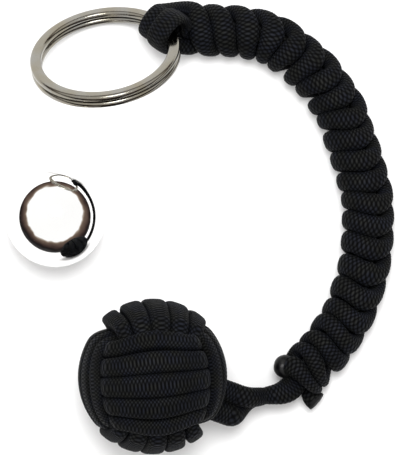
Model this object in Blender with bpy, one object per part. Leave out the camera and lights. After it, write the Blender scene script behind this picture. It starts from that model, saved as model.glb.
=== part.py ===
"""A monkey's fist: a steel ball wound in three crossing sets of cord turns, on a knotted lanyard.

The cord leaves the fist as two legs. They run through the lanyard as its core, pass round a
split ring, and come back as the two knot strands that wrap the core. A bare ball lies beside
the fist. Units are metres, +Z is up, and everything lies on the plane Z = 0. The origin is
where the middle turn of the fist's first set rests on it.
"""
import math

import bmesh
import bpy
from mathutils import Matrix, Vector

# Steel balls
BALL_DIAMETER = 0.0200
BALL_CENTRE_X = -0.0194
BALL_CENTRE_Y = 0.0301

# Cord, round where it is free and pressed flat where it is wound
CORD_DIAMETER = 0.0038
FIST_CORD_THICKNESS = 0.0023
LANYARD_CORD_THICKNESS = 0.0025
CORE_CORD_WIDTH = 0.0039
CORE_CORD_THICKNESS = 0.00155
BIGHT_CORD_WIDTH = 0.0030
BIGHT_CORD_THICKNESS = 0.0018

# Fist
FIST_TURNS = 5
FACE_STEP = math.radians(17.4)
CORNER_STEP = math.radians(12.6)
STEP_TAPER = 0.016
CORNER_TAPER = 0.03
CLIMB_HALF_ANGLE = math.radians(35)
FIST_END_ANGLE = math.radians(25)
TURN_LEAN = 0.10
LEAN_WIDTH = 0.985
CROSSING_SHARPNESS = 0.40
FIST_TILT_X = math.radians(5.7)
FIST_TILT_Y = math.radians(3.3)

# Lanyard
KNOTS = 22
LANYARD_HALF_WIDTH = 0.00525
LANYARD_HALF_DEPTH = 0.00485
KNOT_SIDE_RISE = 0.35
KNOT_SET_BACK = 0.36
KNOT_BULGE = 0.30
KNOT_FADE = 2.5
FIRST_WRAP_A = 0.20
FIRST_WRAP_B = 0.08
LAST_WRAP = 21.62
CORE_INSET = 0.0020
TAIL_LENGTH = 0.0044
TAIL_LEAN = 1.05
TAIL_DIAMETER = 0.0036

# Split ring
RING_OUTER_DIAMETER = 0.0300
RING_WIRE_WIDTH = 0.0022
RING_WIRE_THICKNESS = 0.00135
RING_COIL_GAP = 0.00015
RING_TILT = math.radians(52)
RING_HEADING = math.radians(9.5)
RING_CENTRE_X = -0.0094
RING_CENTRE_Y = 0.0619
RING_END_ANGLE = math.radians(60)
RING_STEP_ANGLE = math.radians(24)
RING_END_GAP = math.radians(3)
LOOP_ANGLE = math.radians(32)
KNOT_LEG_ANGLE_A = math.radians(75)
CORE_LEG_ANGLE_A = math.radians(285)
KNOT_LEG_ANGLE_B = math.radians(250)
CORE_LEG_ANGLE_B = math.radians(40)
WIRE_SHOULDER = 0.72
WIRE_EDGE = 0.5

# Neck
NECK_HEADING = math.radians(-20)
NECK_HEIGHT = 0.0100
WAIST_X = 0.0244
WAIST_Y = -0.0054
WAIST_HEIGHT = 0.0044
WAIST_HEADING = math.radians(8)
NECK_TWIST_ROOM = 0.2

# Clearances and cuts
TOUCH_GAP = 0.0003
TURN_GAP = 0.0004
LAYER_GAP = 0.0005
RING_RUNNING_GAP = 0.00025
REST_CUT = 0.0004

# Route of the lanyard's middle line from the split ring to the fist, in metres
LANYARD_ROUTE = [
    (0.0073, 0.0679),
    (0.0112, 0.0675),
    (0.0158, 0.0673),
    (0.0210, 0.0665),
    (0.0248, 0.0651),
    (0.0286, 0.0621),
    (0.0320, 0.0593),
    (0.0350, 0.0553),
    (0.0374, 0.0517),
    (0.0389, 0.0473),
    (0.0404, 0.0431),
    (0.0418, 0.0383),
    (0.0428, 0.0343),
    (0.0430, 0.0293),
    (0.0428, 0.0247),
    (0.0420, 0.0191),
    (0.0406, 0.0147),
    (0.0388, 0.0101),
    (0.0358, 0.0055),
    (0.0329, 0.0018),
    (0.0302, -0.0007),
    (0.0286, -0.0031),
]

# How finely the round forms are cut into faces
FIST_POINTS_PER_TURN = 24
KNOT_POINTS_PER_TURN = 16
RING_POINTS_PER_TURN = 40
CORD_POINT_STEP = 0.004
BIGHT_ARC_POINTS = 12
JOINING_POINTS = 5
NECK_POINTS = 8
WAIST_POINTS = 6
TAIL_POINTS = 3
PATH_STEP = 0.001
PATH_READINGS = 12
NOSE_ANGLES = (30, 55, 78)
SHARP_EDGE = math.radians(50)

# How far a bending cord holds its first direction, as a share of the distance it bridges
BEND_PULL = 0.4

# A pressed cord's section: half widths and half thicknesses, as shares
PRESSED_SECTION = [(1, 0), (0.55, 1), (-0.55, 1), (-1, 0), (-0.55, -1), (0.55, -1)]
ROUND_SECTION = [
    (math.cos(math.radians(45 * k)), math.sin(math.radians(45 * k))) for k in range(8)
]
WIRE_SECTION = [
    (1, -WIRE_EDGE), (1, WIRE_EDGE), (WIRE_SHOULDER, 1), (-WIRE_SHOULDER, 1),
    (-1, WIRE_EDGE), (-1, -WIRE_EDGE), (-WIRE_SHOULDER, -1), (WIRE_SHOULDER, -1),
]

# Sizes that follow from those above
BALL_RADIUS = BALL_DIAMETER / 2
INNER_RADIUS = BALL_RADIUS + TOUCH_GAP + FIST_CORD_THICKNESS / 2
OUTER_RADIUS = INNER_RADIUS + FIST_CORD_THICKNESS + LAYER_GAP
FIST_RADIUS = OUTER_RADIUS + FIST_CORD_THICKNESS / 2
FIST_CENTRE = Vector((0, -FIST_RADIUS * math.sin(FIST_TILT_X), FIST_RADIUS - REST_CUT))
LANYARD_HEIGHT = LANYARD_HALF_DEPTH - REST_CUT
WRAP_HALF_WIDTH = LANYARD_HALF_WIDTH - LANYARD_CORD_THICKNESS / 2
WRAP_HALF_DEPTH = LANYARD_HALF_DEPTH - LANYARD_CORD_THICKNESS / 2
RING_HALF_THICKNESS = RING_WIRE_THICKNESS + RING_COIL_GAP / 2
RING_WIRE_RADIUS = (RING_OUTER_DIAMETER - RING_WIRE_WIDTH) / 2


def clear_scene():
    for obj in list(bpy.data.objects):
        bpy.data.objects.remove(obj, do_unlink=True)


def make_material(name, colour, roughness, metallic):
    material = bpy.data.materials.new(name)
    material.use_nodes = True
    shader = material.node_tree.nodes["Principled BSDF"]
    shader.inputs["Base Color"].default_value = (*colour, 1)
    shader.inputs["Roughness"].default_value = roughness
    shader.inputs["Metallic"].default_value = metallic
    return material


def eased(share):
    """0 to 1, level at both ends."""
    share = min(max(share, 0.0), 1.0)
    return share * share * (3 - 2 * share)


def mixed(first, second, share):
    return first + (second - first) * share


def add_object(name, mesh_tool, material, parent=None, origin=Matrix()):
    """Turns a bmesh in world places into a named object whose own frame is origin."""
    bmesh.ops.recalc_face_normals(mesh_tool, faces=mesh_tool.faces)
    if mesh_tool.calc_volume(signed=True) < 0:
        bmesh.ops.reverse_faces(mesh_tool, faces=mesh_tool.faces)
    mesh_tool.transform(origin.inverted())
    mesh = bpy.data.meshes.new(name)
    mesh_tool.to_mesh(mesh)
    mesh_tool.free()
    mesh.shade_smooth()
    mesh.set_sharp_from_angle(angle=SHARP_EDGE)
    mesh.materials.append(material)
    obj = bpy.data.objects.new(name, mesh)
    bpy.context.scene.collection.objects.link(obj)
    obj.matrix_world = origin
    if parent:
        obj.parent = parent
        obj.matrix_parent_inverse = parent.matrix_world.inverted()
    return obj


def add_pivot(name, place, turn=Matrix()):
    pivot = bpy.data.objects.new(name, None)
    pivot.empty_display_size = 0.004
    bpy.context.scene.collection.objects.link(pivot)
    pivot.matrix_world = Matrix.Translation(place) @ turn
    return pivot


def swept_body(stations, section):
    """A closed body: the section's outline is extruded from station to station, and capped at both ends.

    A station is (centre, direction of travel, direction of the thickness, width, thickness).
    """
    tool = bmesh.new()
    rings = []
    for centre, travel, up, width, thickness in stations:
        side = travel.cross(up).normalized()
        up = side.cross(travel).normalized()
        rings.append([centre + side * (a * width / 2) + up * (b * thickness / 2) for a, b in section])
    current = [tool.verts.new(point) for point in rings[0]]
    outline = tool.faces.new(current).edges[:]
    for ring in rings[1:]:
        number = {vert.co.to_tuple(): k for k, vert in enumerate(current)}
        grown = bmesh.ops.extrude_edge_only(tool, edges=outline)["geom"]
        outline = [item for item in grown if isinstance(item, bmesh.types.BMEdge)]
        for vert in (item for item in grown if isinstance(item, bmesh.types.BMVert)):
            current[number[vert.co.to_tuple()]] = vert
        for vert, point in zip(current, ring):
            vert.co = point
    tool.faces.new(current)
    return tool


def travels(centres):
    """The direction of travel at each point of a path."""
    last = len(centres) - 1
    return [(centres[min(k + 1, last)] - centres[max(k - 1, 0)]).normalized() for k in range(last + 1)]


def domed(stations, at_start, at_end):
    """The stations with a round nose added at one or both ends; the nose's centre is the old end."""
    longer = list(stations)
    for wanted, index, sign in ((at_start, 0, -1), (at_end, -1, 1)):
        if not wanted:
            continue
        centre, travel, up, width, thickness = stations[index]
        radius = min(width, thickness) / 2
        nose = []
        for angle in NOSE_ANGLES:
            reach = radius * math.sin(math.radians(angle))
            size = math.cos(math.radians(angle))
            nose.append((centre + travel * (sign * reach), travel, up, width * size, thickness * size))
        longer = list(reversed(nose)) + longer if index == 0 else longer + nose
    return longer


def smooth_path(points, step):
    """A smooth curve through the points, read about every step along it."""
    ends = [points[0] * 2 - points[1], *points, points[-1] * 2 - points[-2]]
    fine = []
    for a, b, c, d in zip(ends, ends[1:], ends[2:], ends[3:]):
        for k in range(PATH_READINGS):
            t = k / PATH_READINGS
            bend = (2 * a - 5 * b + 4 * c - d) * t**2 + (3 * b - a - 3 * c + d) * t**3
            fine.append(0.5 * (2 * b + (c - a) * t + bend))
    fine.append(points[-1])
    return evenly(fine, step)


def evenly(fine, step):
    """The same path with its points equally far apart."""
    reached = [0.0]
    for a, b in zip(fine, fine[1:]):
        reached.append(reached[-1] + (b - a).length)
    count = max(2, round(reached[-1] / step))
    path, at = [], 0
    for k in range(count + 1):
        goal = reached[-1] * k / count
        while at < len(fine) - 2 and reached[at + 1] < goal:
            at += 1
        part = (goal - reached[at]) / (reached[at + 1] - reached[at])
        path.append(fine[at].lerp(fine[at + 1], min(part, 1.0)))
    return path


def bezier(start, start_pull, end_pull, end, count):
    """A curve that leaves start by start_pull and arrives at end by end_pull."""
    path = []
    for k in range(count + 1):
        t = k / count
        s = 1 - t
        near_start = start * s**3 + (start + start_pull) * (3 * s * s * t)
        near_end = (end - end_pull) * (3 * s * t * t) + end * t**3
        path.append(near_start + near_end)
    return path


def cut_flat(obj):
    """Cuts off what lies under the plane that the object rests on."""
    size = 4 * (RING_OUTER_DIAMETER + BALL_DIAMETER)
    tool = bmesh.new()
    bmesh.ops.create_cube(tool, size=1)
    below = Matrix.Translation((0, size / 4, -size / 20))
    tool.transform(below @ Matrix.Diagonal((size, size, size / 10, 1)))
    cutter = add_object(obj.name + "_floor_cutter", tool, obj.data.materials[0])
    cutter.hide_render = True
    cutter.display_type = "WIRE"
    modifier = obj.modifiers.new("rest_flat", "BOOLEAN")
    modifier.object = cutter
    modifier.operation = "DIFFERENCE"
    modifier.solver = "EXACT"


def fist_turn_stations():
    """One set of turns in its own frame: X along the set's axis, Y to the face where it is outermost."""
    start = -math.pi / 2 + FIST_END_ANGLE
    end = -math.pi / 2 + 2 * math.pi * FIST_TURNS - FIST_END_ANGLE
    count = round(FIST_POINTS_PER_TURN * (end - start) / (2 * math.pi))
    centres, sizes = [], []
    for k in range(count + 1):
        angle = mixed(start, end, k / count)
        outer = eased((math.cos(2 * angle) + CROSSING_SHARPNESS) / (2 * CROSSING_SHARPNESS))
        corner = math.sin(2 * angle) ** 2
        taper = mixed(STEP_TAPER, CORNER_TAPER, corner)
        radius = mixed(INNER_RADIUS, OUTER_RADIUS, outer)
        turn = (angle + math.pi / 2) / (2 * math.pi)
        whole = math.floor(turn)
        into = (turn - whole) * 2 * math.pi
        climb = 0.0
        if into < CLIMB_HALF_ANGLE:
            climb = eased(0.5 + 0.5 * into / CLIMB_HALF_ANGLE) - 1
        elif into > 2 * math.pi - CLIMB_HALF_ANGLE:
            climb = eased(0.5 - 0.5 * (2 * math.pi - into) / CLIMB_HALF_ANGLE)
        level = mixed(whole - (FIST_TURNS - 1) / 2 + climb, turn - FIST_TURNS / 2, TURN_LEAN)
        spacing = radius * (FACE_STEP - (FACE_STEP - CORNER_STEP) * corner)
        offset = spacing * level * (1 - taper * level * level)
        reach = math.sqrt(radius * radius - offset * offset)
        centres.append(Vector((offset, reach * math.cos(angle), reach * math.sin(angle))))
        sizes.append(LEAN_WIDTH * spacing * (1 - 3 * taper * level * level) - TURN_GAP)
    directions = travels(centres)
    return [
        (centre, travel, centre.normalized(), width, FIST_CORD_THICKNESS)
        for centre, travel, width in zip(centres, directions, sizes)
    ]


def least_gap_to_itself(stations, points_per_turn):
    """The least distance between the walls of neighbouring turns, from their middle lines and widths."""
    least = 1.0
    for i, (centre, _, _, width, _) in enumerate(stations):
        for other in stations[i + points_per_turn // 2 :]:
            least = min(least, (centre - other[0]).length - (width + other[3]) / 2)
    return least


def make_fist(pivot, cord, steel):
    tilt = Matrix.Rotation(FIST_TILT_Y, 4, "Y") @ Matrix.Rotation(FIST_TILT_X, 4, "X")
    place = Matrix.Translation(FIST_CENTRE) @ tilt
    stations = fist_turn_stations()
    gap = least_gap_to_itself(stations, FIST_POINTS_PER_TURN)
    print("least gap between turns of a fist set in mm:", round(gap * 1000, 2))
    # The first set runs round Y and is outermost at +Z and -Z, the second round X, the third round Z
    axes = {
        "fist_first_turns": ("Y", "Z", "X"),
        "fist_second_turns": ("X", "Y", "Z"),
        "fist_third_turns": ("Z", "X", "Y"),
    }
    unit = {"X": Vector((1, 0, 0)), "Y": Vector((0, 1, 0)), "Z": Vector((0, 0, 1))}
    for name, (along, outer, inner) in axes.items():
        turn = Matrix((unit[along], unit[outer], unit[inner])).transposed().to_4x4()
        tool = swept_body(stations, PRESSED_SECTION)
        tool.transform(place @ turn)
        obj = add_object(name, tool, cord, pivot, place)
        if name == "fist_first_turns":
            cut_flat(obj)
    make_ball("fist_core_ball", FIST_CENTRE, steel, pivot)


def make_ball(name, centre, steel, parent=None):
    tool = bmesh.new()
    bmesh.ops.create_uvsphere(tool, u_segments=32, v_segments=16, radius=BALL_RADIUS)
    place = Matrix.Translation(centre)
    tool.transform(place)
    return add_object(name, tool, steel, parent, place)


def lanyard_line():
    """The lanyard's middle line, with its directions of travel and of its left side."""
    points = [Vector((x, y, LANYARD_HEIGHT)) for x, y in LANYARD_ROUTE]
    path = smooth_path(points, PATH_STEP)
    directions = travels(path)
    sides = [Vector((-d.y, d.x, 0)) for d in directions]
    return path, directions, sides


def at_share(values, share):
    """A list read at a share of its length."""
    place = min(max(share, 0.0), 1.0) * (len(values) - 1)
    low = min(int(place), len(values) - 2)
    return values[low].lerp(values[low + 1], place - low)


def knot_strand_path(line, half_turn):
    """Middle points and outward directions of one knot strand; half_turn sets the two strands apart.

    Each wrap lies tilted, so that it bulges towards the fist on top and slants most on the underside.
    """
    path, _, sides = line
    count = round(LAST_WRAP / 2 * KNOT_POINTS_PER_TURN)
    centres, ups = [], []
    for k in range(count + 1):
        wrap = mixed((FIRST_WRAP_A, FIRST_WRAP_B)[half_turn], LAST_WRAP, k / count)
        angle = math.pi * (wrap + half_turn)
        lead = KNOT_SIDE_RISE * math.sin(2 * math.pi * wrap) / (2 * math.pi)
        tilt = KNOT_SET_BACK * math.cos(angle) + KNOT_BULGE * math.sin(angle)
        share = (wrap + lead + tilt * eased(wrap / KNOT_FADE)) / KNOTS
        side = at_share(sides, share).normalized()
        out = side * (WRAP_HALF_WIDTH * math.cos(angle)) + Vector((0, 0, WRAP_HALF_DEPTH * math.sin(angle)))
        centres.append(at_share(path, share) + out)
        up = side * (math.cos(angle) / WRAP_HALF_WIDTH) + Vector((0, 0, math.sin(angle) / WRAP_HALF_DEPTH))
        ups.append(up.normalized())
    return centres, ups


def knot_strand_stations(line):
    """Both knot strands, each as wide as the room that its neighbours leave."""
    paths = [knot_strand_path(line, half_turn) for half_turn in (0, 1)]
    strands = []
    knot = KNOT_POINTS_PER_TURN // 2
    for own, other in ((paths[0], paths[1]), (paths[1], paths[0])):
        stations = []
        directions = travels(own[0])
        for k, (centre, up) in enumerate(zip(*own)):
            near = [p for j, p in enumerate(other[0]) if knot // 2 < abs(j - k) < knot + knot // 2 + 1]
            room = min((centre - p).length for p in near)
            stations.append((centre, directions[k], up, room - TURN_GAP, LANYARD_CORD_THICKNESS))
        strands.append(stations)
    return strands


def make_lanyard(line, cord, melted):
    """The two knot strands, with a melted end on each."""
    strands = knot_strand_stations(line)
    onward = line[1][-1]
    for letter, stations in zip("ab", strands):
        gap = least_gap_to_itself(stations, KNOT_POINTS_PER_TURN)
        print("least gap between turns of knot strand", letter, "in mm:", round(gap * 1000, 2))
        obj = add_object("knot_strand_" + letter, swept_body(stations, PRESSED_SECTION), cord)
        cut_flat(obj)
        centre, travel, up, width, thickness = stations[-1]
        start = centre + travel * TOUCH_GAP
        reach = TAIL_LENGTH - CORD_DIAMETER / 2
        away = (travel + onward * TAIL_LEAN).normalized()
        pull = reach * BEND_PULL
        tip = start + (travel + away) * (reach / 2)
        points = bezier(start, travel * pull, away * pull, tip, TAIL_POINTS)
        ways = travels(points)
        ways[0] = travel
        tail = []
        for k, (point, way) in enumerate(zip(points, ways)):
            share = eased(k / TAIL_POINTS)
            size = mixed(width, TAIL_DIAMETER, share), mixed(thickness, TAIL_DIAMETER, share)
            tail.append((point, way, up, *size))
        tool = swept_body(domed(tail, False, True), ROUND_SECTION)
        obj = add_object("melted_end_" + letter, tool, melted)
        cut_flat(obj)
    return strands


def ring_frame():
    """The split ring's plane: its centre, and its level, sloping and normal directions."""
    level = Vector((math.cos(RING_HEADING), math.sin(RING_HEADING), 0))
    normal = Vector((-math.sin(RING_HEADING) * math.sin(RING_TILT),
                     math.cos(RING_HEADING) * math.sin(RING_TILT), math.cos(RING_TILT)))
    slope = normal.cross(level)
    edge = RING_HALF_THICKNESS - RING_WIRE_THICKNESS * (1 - WIRE_EDGE) / 2
    height = RING_OUTER_DIAMETER / 2 * math.sin(RING_TILT) + edge * math.cos(RING_TILT)
    return Vector((RING_CENTRE_X, RING_CENTRE_Y, height)), level, slope, normal


def loop_frame():
    """Where the loop holds the ring: the wire's middle, and the ways out of the ring, along the wire and up."""
    centre, level, slope, normal = ring_frame()
    out = level * math.cos(LOOP_ANGLE) + slope * math.sin(LOOP_ANGLE)
    along = normal.cross(out)
    return centre + out * RING_WIRE_RADIUS, out, along, normal


def make_split_ring(nickel):
    """Two turns of flat wire; each end lies against the step where the wire climbs to the other turn."""
    centre, level, slope, normal = ring_frame()
    place, out, along, _ = loop_frame()
    frame = Matrix((out, along, normal)).transposed().to_4x4()
    pivot = add_pivot("ring_pivot", place, frame)
    height = RING_WIRE_THICKNESS + RING_COIL_GAP
    first = math.pi / 2 + RING_STEP_ANGLE / 2 + RING_END_GAP
    last = first + 4 * math.pi - RING_STEP_ANGLE - 2 * RING_END_GAP
    count = round(RING_POINTS_PER_TURN * (last - first) / (2 * math.pi))
    middle = (first + last) / 2
    stations = []
    for k in range(count + 1):
        angle = mixed(first, last, k / count)
        rise = height * (eased((angle - middle) / RING_STEP_ANGLE + 0.5) - 0.5)
        outward = level * math.cos(angle + RING_END_ANGLE) + slope * math.sin(angle + RING_END_ANGLE)
        stations.append((centre + outward * RING_WIRE_RADIUS + normal * rise, normal.cross(outward), normal,
                         RING_WIRE_WIDTH, RING_WIRE_THICKNESS))
    tool = swept_body(stations, WIRE_SECTION)
    return add_object("split_ring", tool, nickel, pivot, pivot.matrix_world.copy())


def bight_hole_radius():
    """The loop's inner radius: the wire's corner and its bend within the loop clear it as the ring turns."""
    corner = math.hypot(WIRE_SHOULDER * RING_WIRE_WIDTH / 2, RING_HALF_THICKNESS)
    half_width = BIGHT_CORD_WIDTH + TOUCH_GAP / 2
    bend = RING_WIRE_RADIUS - math.sqrt(RING_WIRE_RADIUS**2 - half_width**2)
    return corner + bend + RING_RUNNING_GAP


def core_stations(line, sign):
    """A core strand: through the lanyard, and on to the waist, where the two lie one over the other."""
    path, directions, _ = line
    waist = Vector((WAIST_X, WAIST_Y, WAIST_HEIGHT))
    rest = path[1 + round(CORE_INSET / PATH_STEP) :]
    inside = evenly([path[0] + directions[0] * CORE_INSET, *rest], CORD_POINT_STEP)
    pull = (waist - path[-1]).length * BEND_PULL
    outside = bezier(path[-1], directions[-1] * pull, waist_travel() * pull, waist, WAIST_POINTS)
    rounding = [eased((k - 1) / (WAIST_POINTS / 2)) for k in range(WAIST_POINTS + 1)]
    shares = [0] * (len(inside) - 1) + rounding
    stations = []
    for point, share in zip(inside[:-1] + outside, shares):
        width = mixed(CORE_CORD_WIDTH, CORD_DIAMETER, share)
        thickness = mixed(CORE_CORD_THICKNESS, CORD_DIAMETER, share)
        stations.append((point + Vector((0, 0, sign * (thickness + TOUCH_GAP) / 2)), width, thickness))
    ways = travels([point for point, _, _ in stations])
    ways[-1] = waist_travel()
    return [(point, way, Vector((0, 0, 1)), width, thickness)
            for (point, width, thickness), way in zip(stations, ways)]


def waist_travel():
    """The level direction in which the cord passes the waist, towards the fist."""
    return Vector((-math.cos(WAIST_HEADING), -math.sin(WAIST_HEADING), 0))


def make_core(line, cord):
    cores = [core_stations(line, sign) for sign in (-1, 1)]
    for letter, stations in zip("ab", cores):
        tool = swept_body(domed(stations, False, True), PRESSED_SECTION)
        add_object("core_strand_" + letter, tool, cord)
    return cores


def make_bights(strands, cores, cord):
    """Two bights round the ring's wire. Each joins a knot strand's start to a core strand's start."""
    place, out, along, normal = loop_frame()
    radius = bight_hole_radius() + BIGHT_CORD_THICKNESS / 2
    apart = (BIGHT_CORD_WIDTH + TOUCH_GAP) / 2
    rows = (
        ("a", 1, KNOT_LEG_ANGLE_A, CORE_LEG_ANGLE_A, strands[0][0], cores[0][0]),
        ("b", -1, KNOT_LEG_ANGLE_B, CORE_LEG_ANGLE_B, strands[1][0], cores[1][0]),
    )
    for letter, shift, first_angle, last_angle, knot, core in rows:
        middle = place + along * (shift * apart)
        arc = []
        for k in range(BIGHT_ARC_POINTS + 1):
            angle = mixed(first_angle, last_angle, k / BIGHT_ARC_POINTS)
            arc.append(middle + (out * math.cos(angle) + normal * math.sin(angle)) * radius)
        ways = travels(arc)
        pressed = (BIGHT_CORD_WIDTH, BIGHT_CORD_THICKNESS)
        turns = [(point, way, (point - middle).normalized(), *pressed) for point, way in zip(arc, ways)]
        from_knot = joining_stations(set_back(reversed_station(knot), TOUCH_GAP), turns[0])
        to_core = joining_stations(turns[-1], set_back(core, -TOUCH_GAP))
        stations = from_knot[:-1] + turns + to_core[1:]
        add_object("ring_bight_" + letter, swept_body(stations, PRESSED_SECTION), cord)


def reversed_station(station):
    """A strand's first station, seen by the stretch of cord that ends there and goes the other way."""
    centre, travel, up, width, thickness = station
    return centre, -travel, up, width, thickness


def set_back(station, distance):
    """The station moved along its own direction of travel."""
    return station[0] + station[1] * distance, *station[1:]


def joining_stations(first, last):
    """Stations of a short smooth stretch of cord between two stations, with its section easing over."""
    pull = (last[0] - first[0]).length * BEND_PULL
    points = bezier(first[0], first[1] * pull, last[1] * pull, last[0], JOINING_POINTS)
    ways = travels(points)
    ways[0], ways[-1] = first[1], last[1]
    up_end = last[2] if first[2].dot(last[2]) > -0.5 else -last[2]
    stations = []
    for k, (point, way) in enumerate(zip(points, ways)):
        share = eased(k / JOINING_POINTS)
        stations.append((point, way, first[2].lerp(up_end, share).normalized(),
                         mixed(first[3], last[3], share), mixed(first[4], last[4], share)))
    return stations


def neck_start():
    """The centre between the two legs' noses at the fist, which is where the fist nods."""
    way = Vector((math.cos(NECK_HEADING), math.sin(NECK_HEADING), 0))
    drop = FIST_CENTRE.z - NECK_HEIGHT
    reach = FIST_RADIUS + TOUCH_GAP + CORD_DIAMETER / 2
    return Vector((*FIST_CENTRE.xy, NECK_HEIGHT)) + way * math.sqrt(reach**2 - drop**2), way


def make_neck(cord, pivot):
    """The two legs of cord, side by side at the fist and one over the other at the waist."""
    start, way = neck_start()
    across = Vector((-way.y, way.x, 0))
    waist = Vector((WAIST_X, WAIST_Y, WAIST_HEIGHT))
    end = waist + waist_travel() * (CORD_DIAMETER + TOUCH_GAP)
    out = (start - FIST_CENTRE).normalized()
    pull = (end - start).length * BEND_PULL
    middle = bezier(start, out * pull, -waist_travel() * pull, end, NECK_POINTS)
    middle_ways = travels(middle)
    middle_ways[0], middle_ways[-1] = out, -waist_travel()
    for letter, sign in (("a", -1), ("b", 1)):
        points = []
        for k, (point, travel) in enumerate(zip(middle, middle_ways)):
            turn = eased(k / NECK_POINTS) * math.pi / 2
            above = travel.cross(across).normalized()
            above *= 1 if above.z > 0 else -1
            room = 1 + NECK_TWIST_ROOM * math.sin(math.pi * k / NECK_POINTS)
            apart = (CORD_DIAMETER + TOUCH_GAP) / 2 * room
            points.append(point + (across * math.cos(turn) + above * math.sin(turn)) * (sign * apart))
        ways = travels(points)
        ways[0], ways[-1] = out, -waist_travel()
        section = (Vector((0, 0, 1)), CORD_DIAMETER, CORD_DIAMETER)
        stations = [(point, step, *section) for point, step in zip(points, ways)]
        tool = swept_body(domed(stations, True, True), ROUND_SECTION)
        add_object("neck_leg_" + letter, tool, cord, pivot, pivot.matrix_world.copy())


def main():
    clear_scene()
    cord = make_material("black_cord", (0.012, 0.012, 0.014), 0.75, 0.0)
    melted = make_material("melted_cord", (0.008, 0.008, 0.009), 0.25, 0.0)
    steel = make_material("polished_steel", (0.72, 0.71, 0.69), 0.08, 1.0)
    nickel = make_material("nickel_plate", (0.62, 0.60, 0.56), 0.22, 1.0)
    line = lanyard_line()
    strands = make_lanyard(line, cord, melted)
    cores = make_core(line, cord)
    make_bights(strands, cores, cord)
    make_split_ring(nickel)
    neck_pivot = add_pivot("neck_pivot", Vector((WAIST_X, WAIST_Y, WAIST_HEIGHT)))
    make_neck(cord, neck_pivot)
    nod, _ = neck_start()
    fist_pivot = add_pivot("fist_pivot", nod)
    fist_pivot.parent = neck_pivot
    fist_pivot.matrix_parent_inverse = neck_pivot.matrix_world.inverted()
    bpy.context.view_layer.update()
    make_fist(fist_pivot, cord, steel)
    make_ball("loose_ball", Vector((BALL_CENTRE_X, BALL_CENTRE_Y, BALL_RADIUS)), steel)


main()
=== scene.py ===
"""The dressed monkey fist: braided cord, melted ends, a split ring and polished balls.

Everything is in metres and in the frame's own axes. The cord's routes are those of the CAD source,
read more finely, and every tube of cord carries its braid both in its wall and in its material.
"""
import math

import bmesh
import bpy
from bpy.props import FloatProperty, FloatVectorProperty, IntProperty, PointerProperty
from bpy.types import Operator, Panel, PropertyGroup
from mathutils import Matrix, Vector


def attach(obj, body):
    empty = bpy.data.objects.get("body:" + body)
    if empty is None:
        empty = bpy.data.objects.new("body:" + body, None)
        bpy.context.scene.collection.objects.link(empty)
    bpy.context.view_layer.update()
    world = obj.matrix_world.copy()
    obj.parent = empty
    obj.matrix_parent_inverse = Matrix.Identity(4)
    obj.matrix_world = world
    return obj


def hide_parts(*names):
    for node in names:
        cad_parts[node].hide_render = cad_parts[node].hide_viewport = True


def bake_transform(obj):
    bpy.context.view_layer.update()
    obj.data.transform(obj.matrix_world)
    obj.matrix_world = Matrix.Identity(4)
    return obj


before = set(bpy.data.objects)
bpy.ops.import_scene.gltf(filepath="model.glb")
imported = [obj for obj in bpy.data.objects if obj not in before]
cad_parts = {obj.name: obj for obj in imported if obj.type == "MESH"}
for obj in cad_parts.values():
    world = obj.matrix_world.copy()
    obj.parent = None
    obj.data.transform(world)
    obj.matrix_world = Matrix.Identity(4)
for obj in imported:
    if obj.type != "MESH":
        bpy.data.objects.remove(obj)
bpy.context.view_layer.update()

bl_info = {
    "name": "Monkey Fist",
    "version": (1, 0, 0),
    "blender": (4, 5, 0),
    "location": "View3D > Sidebar > Monkey Fist",
    "description": "Dresses a monkey fist, its knotted lanyard, its split ring and a bare ball",
    "category": "Object",
}

UP = Vector((0, 0, 1))

# Middle line of the lanyard, from the split ring to the fist
LANYARD_ROUTE = [
    (0.0073, 0.0679),
    (0.0112, 0.0675),
    (0.0158, 0.0673),
    (0.0210, 0.0665),
    (0.0248, 0.0651),
    (0.0286, 0.0621),
    (0.0320, 0.0593),
    (0.0350, 0.0553),
    (0.0374, 0.0517),
    (0.0389, 0.0473),
    (0.0404, 0.0431),
    (0.0418, 0.0383),
    (0.0428, 0.0343),
    (0.0430, 0.0293),
    (0.0428, 0.0247),
    (0.0420, 0.0191),
    (0.0406, 0.0147),
    (0.0388, 0.0101),
    (0.0358, 0.0055),
    (0.0329, 0.0018),
    (0.0302, -0.0007),
    (0.0286, -0.0031),
]
LANYARD_HEIGHT = 0.00445
LANYARD_STEP = 0.0005

# The wraps of the two strands, in knots from the ring, and how far they run ahead of an even pitch
# past the middle and fall back at the end
KNOTS = 22
FIRST_WRAPS = (0.20, 0.08)
LAST_WRAPS = (21.62, 21.80)
LATE_LEAD, END_RETURN = 0.55, 0.25
STATIONS_PER_KNOT = 64

FIST_RADIUS = 0.0154
FIST_TILT = math.radians(5.7)
FIST_SIDE_TILT = math.radians(3.3)
FIST_CENTRE = Vector((0, -FIST_RADIUS * math.sin(FIST_TILT), 0.0150))

# The neck's waist, the point by the fist from which a leg's split is measured, and what the CAD
# legs stand off the fist by
WAIST = Vector((0.0244, -0.0054, 0.0044))
WAIST_HEADING = math.radians(8)
WAIST_TRAVEL = Vector((-math.cos(WAIST_HEADING), -math.sin(WAIST_HEADING), 0))
FIST_HINGE = Vector((0.015857, -0.007301, 0.010))
TOUCH_GAP = 0.0003
CAD_CORD_DIAMETER = 0.0038

RING_PLACE = (-0.0094, 0.0619)
BALL_PLACE = (-0.0194, 0.0301)

# Where the loop holds the ring, and how far the ring's split is turned to lie under it
LOOP_ANGLE = math.radians(32)
SPLIT_TURN = math.radians(62)
# Each bight's side of the loop, extra width, and first and last angle round the wire
BIGHTS = {"a": (1, 0.0, 50, 285), "b": (-1, 0.0019, 250, 40)}

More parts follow.
